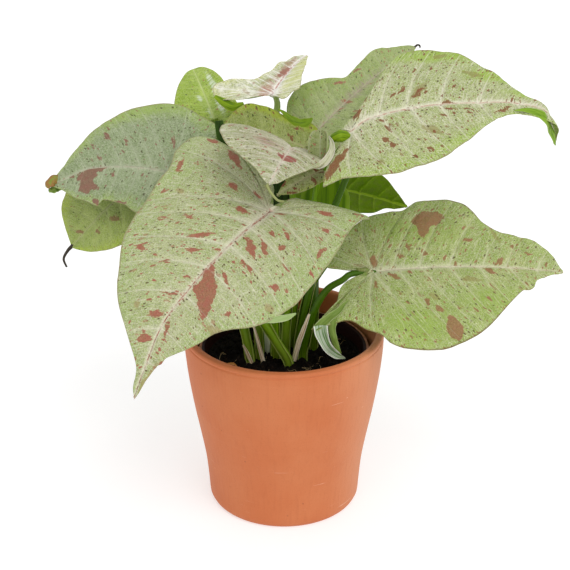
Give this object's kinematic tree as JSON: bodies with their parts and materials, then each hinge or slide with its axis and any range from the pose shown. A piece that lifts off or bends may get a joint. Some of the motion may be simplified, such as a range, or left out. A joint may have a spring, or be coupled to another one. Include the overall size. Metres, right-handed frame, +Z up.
{
  "type": "potted houseplant",
  "caption": "Syngonium houseplant with speckled arrowhead leaves on arching stalks, standing in soil in a thin inner pot inside a tapered terracotta pot.",
  "frame": {"origin": "centre of the terracotta pot's base, on the surface it stands on", "axes": "+Z up along the pot's axis, +X to the viewer's right and -Y towards the viewer of the picture"},
  "size_m": [0.361, 0.2553, 0.313],
  "materials": {
    "terracotta": "matte",
    "brown_plastic": "satin",
    "potting_soil": "matte",
    "speckled_leaf": "satin",
    "grey_green_leaf": "satin",
    "yellow_green_leaf": "satin",
    "pale_leaf": "satin",
    "green_underside_leaf": "satin",
    "leaf_stalk": "satin"
  },
  "bodies": {
    "root": {"terracotta_pot": "terracotta", "nursery_pot": "brown_plastic", "soil": "potting_soil", "front_blade": "speckled_leaf", "front_stalk": "leaf_stalk", "left_blade": "grey_green_leaf", "left_stalk": "leaf_stalk", "lower_left_blade": "yellow_green_leaf", "lower_left_stalk": "leaf_stalk", "back_left_blade": "yellow_green_leaf", "back_left_stalk": "leaf_stalk", "back_pale_blade": "pale_leaf", "back_pale_stalk": "leaf_stalk", "centre_pale_blade": "pale_leaf", "centre_pale_stalk": "leaf_stalk", "centre_green_blade": "speckled_leaf", "centre_green_stalk": "leaf_stalk", "under_centre_blade": "speckled_leaf", "under_centre_stalk": "leaf_stalk", "right_blade": "speckled_leaf", "right_stalk": "leaf_stalk", "back_right_blade": "grey_green_leaf", "back_right_stalk": "leaf_stalk", "lower_right_blade": "speckled_leaf", "lower_right_stalk": "leaf_stalk", "back_low_blade": "green_underside_leaf", "back_low_stalk": "leaf_stalk"}
  },
  "joints": []
}
